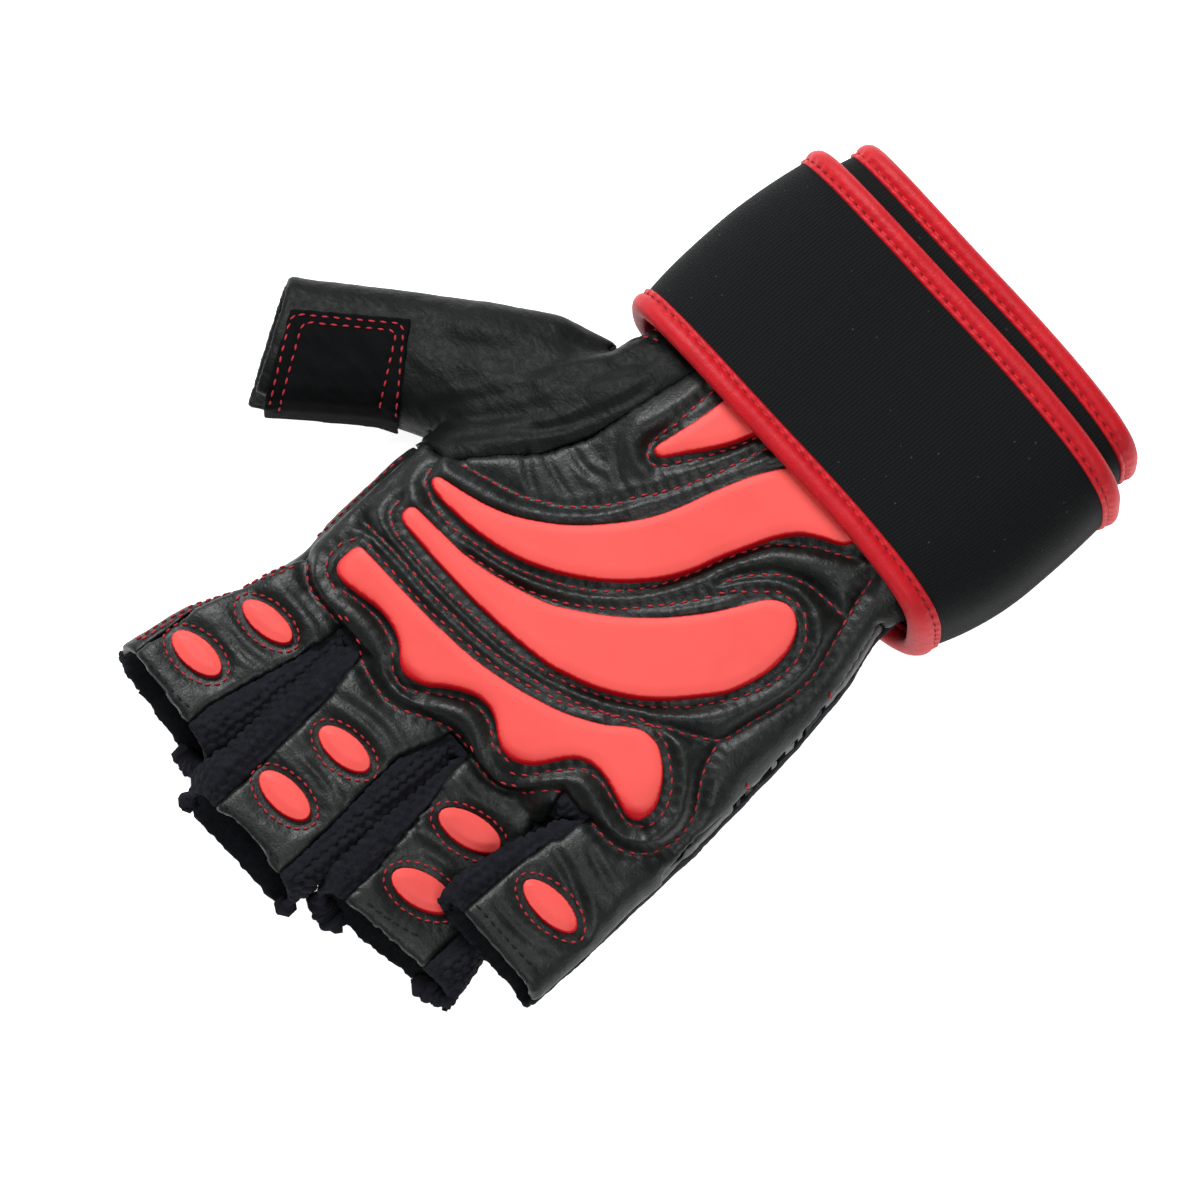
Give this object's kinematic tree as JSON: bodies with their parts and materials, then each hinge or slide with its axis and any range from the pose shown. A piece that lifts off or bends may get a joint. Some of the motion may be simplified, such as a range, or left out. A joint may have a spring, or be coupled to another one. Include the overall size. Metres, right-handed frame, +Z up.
{
  "type": "weightlifting glove",
  "caption": "Fingerless right-hand weightlifting glove lying palm up, with a padded leather palm, rubber inserts and a wound wrist strap.",
  "frame": {"origin": "middle of the footprint, on the surface the glove lies on", "axes": "+Y towards the arm, -X towards the thumb, +Z up out of the palm"},
  "size_m": [0.1644, 0.2096, 0.0438],
  "materials": {
    "leather": "soft grained black leather",
    "stretch": "fine black stretch knit",
    "knit": "chunky black knit",
    "suede": "smooth black suede",
    "neoprene": "ribbed black neoprene jersey",
    "rubber": "smooth matt red rubber",
    "binding": "grained red leather"
  },
  "bodies": {
    "root": {"palm_panel": "leather", "back_panel": "stretch", "thumb_sleeve": "leather", "thumb_patch": "suede", "index_strip": "leather", "gusset_index_middle": "knit", "gusset_middle_ring": "knit", "gusset_ring_little": "knit", "side_panel_middle": "leather", "side_panel_wrist": "leather", "side_panel_finger": "leather", "flex_band_wrist": "stretch", "flex_band_finger": "stretch", "pad_thenar": "leather", "pad_heel": "leather", "pad_palm": "leather", "pad_knuckle": "leather", "insert_thenar": "rubber", "insert_heel": "rubber", "insert_palm": "rubber", "insert_knuckle": "rubber", "oval_index_1": "rubber", "oval_index_2": "rubber", "oval_middle_1": "rubber", "oval_middle_2": "rubber", "oval_ring_1": "rubber", "oval_ring_2": "rubber", "oval_little_1": "rubber", "wrist_strap": "neoprene", "strap_binding_front": "binding", "strap_binding_rear": "binding", "closure_tab": "neoprene"}
  },
  "joints": []
}
